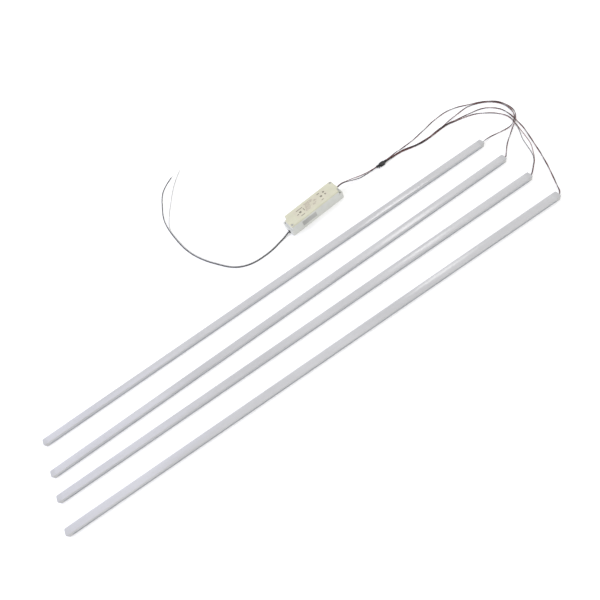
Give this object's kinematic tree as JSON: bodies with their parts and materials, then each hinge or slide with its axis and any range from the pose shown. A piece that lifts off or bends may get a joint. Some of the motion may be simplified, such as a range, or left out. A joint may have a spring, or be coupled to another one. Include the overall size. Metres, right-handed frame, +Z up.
{
  "type": "led light bar kit",
  "caption": "Slim linear LED light bars with milky diffusers, wired through a latching in-line connector to a small driver with loose mains wires",
  "frame": {"origin": "on the surface that the kit lies on, under the middle of the box round the bars and the driver", "axes": "+X along the bars towards their leads, +Y from the bars towards the driver, +Z up"},
  "size_m": [1.2847, 0.7561, 0.0303],
  "materials": {
    "aluminium": "satin anodised",
    "milky_diffuser": "milky, translucent",
    "white_board": "white solder mask",
    "led": "yellow phosphor lens in a white body",
    "cap_plastic": "satin",
    "driver_plastic": "fine satin ivory",
    "zinc_steel": "zinc plated",
    "label_cream": "satin film",
    "label_grey": "satin film",
    "bush_plastic": "matte",
    "green_board": "green solder mask",
    "ferrite": "matt sintered",
    "winding_tape": "polyester tape",
    "capacitor_sleeve": "shrink sleeve",
    "copper": "enamelled wire",
    "film_yellow": "moulded",
    "black_epoxy": "moulded",
    "fuse_glass": "clear",
    "connector_black": "moulded nylon",
    "contact_brass": "bright",
    "boot_rubber": "matte",
    "lead_red_black": "smooth PVC",
    "lead_red": "smooth PVC",
    "lead_black": "smooth PVC",
    "lead_white": "smooth PVC",
    "tinned_copper": "tinned"
  },
  "bodies": {
    "kit": {"bar_1_channel": "aluminium", "bar_1_diffuser": "milky_diffuser", "bar_1_board": "white_board", "bar_1_leds": "led", "bar_1_lead_cap": "cap_plastic", "bar_1_end_cap": "cap_plastic", "bar_2_channel": "aluminium", "bar_2_diffuser": "milky_diffuser", "bar_2_board": "white_board", "bar_2_leds": "led", "bar_2_lead_cap": "cap_plastic", "bar_2_end_cap": "cap_plastic", "bar_3_channel": "aluminium", "bar_3_diffuser": "milky_diffuser", "bar_3_board": "white_board", "bar_3_leds": "led", "bar_3_lead_cap": "cap_plastic", "bar_3_end_cap": "cap_plastic", "bar_4_channel": "aluminium", "bar_4_diffuser": "milky_diffuser", "bar_4_board": "white_board", "bar_4_leds": "led", "bar_4_lead_cap": "cap_plastic", "bar_4_end_cap": "cap_plastic", "driver_case": "driver_plastic", "driver_lid": "driver_plastic", "driver_lid_screws": "zinc_steel", "driver_top_label": "label_cream", "driver_side_label": "label_grey", "driver_input_grommet": "bush_plastic", "driver_output_grommet": "bush_plastic", "driver_board": "green_board", "driver_transformer_core": "ferrite", "driver_transformer_winding": "winding_tape", "driver_bulk_capacitor": "capacitor_sleeve", "driver_output_capacitors": "capacitor_sleeve", "driver_input_choke": "copper", "driver_line_capacitor": "film_yellow", "driver_heat_sink": "aluminium", "driver_power_transistors": "black_epoxy", "driver_rectifier": "black_epoxy", "driver_fuse": "fuse_glass", "plug_shroud": "connector_black", "plug_pins": "contact_brass", "plug_boot": "boot_rubber", "bar_1_lead": "lead_red_black", "bar_2_lead": "lead_red_black", "bar_3_lead": "lead_red_black", "bar_4_lead": "lead_red_black", "output_lead_black": "lead_black", "output_lead_red": "lead_red", "input_lead_black": "lead_black", "input_lead_white": "lead_white", "input_wire_tips": "tinned_copper"},
    "driver_plug": {"socket_housing": "connector_black", "socket_contacts": "contact_brass"},
    "latch": {"latch_lever": "connector_black"}
  },
  "joints": [
    {"name": "plug_slide", "type": "slide", "parent": "kit", "child": "driver_plug", "axis": [-1, 0, 0], "range_m": [0, 0.01], "deforming": ["output_lead_black", "output_lead_red"]},
    {"name": "latch_press", "type": "hinge", "parent": "driver_plug", "child": "latch", "pos_m": [0.3892, 0.1583, 0.0033], "axis": [0, 0, -1], "range_deg": [0, 4.5], "stiffness_Nm_per_rad": 0.05}
  ]
}
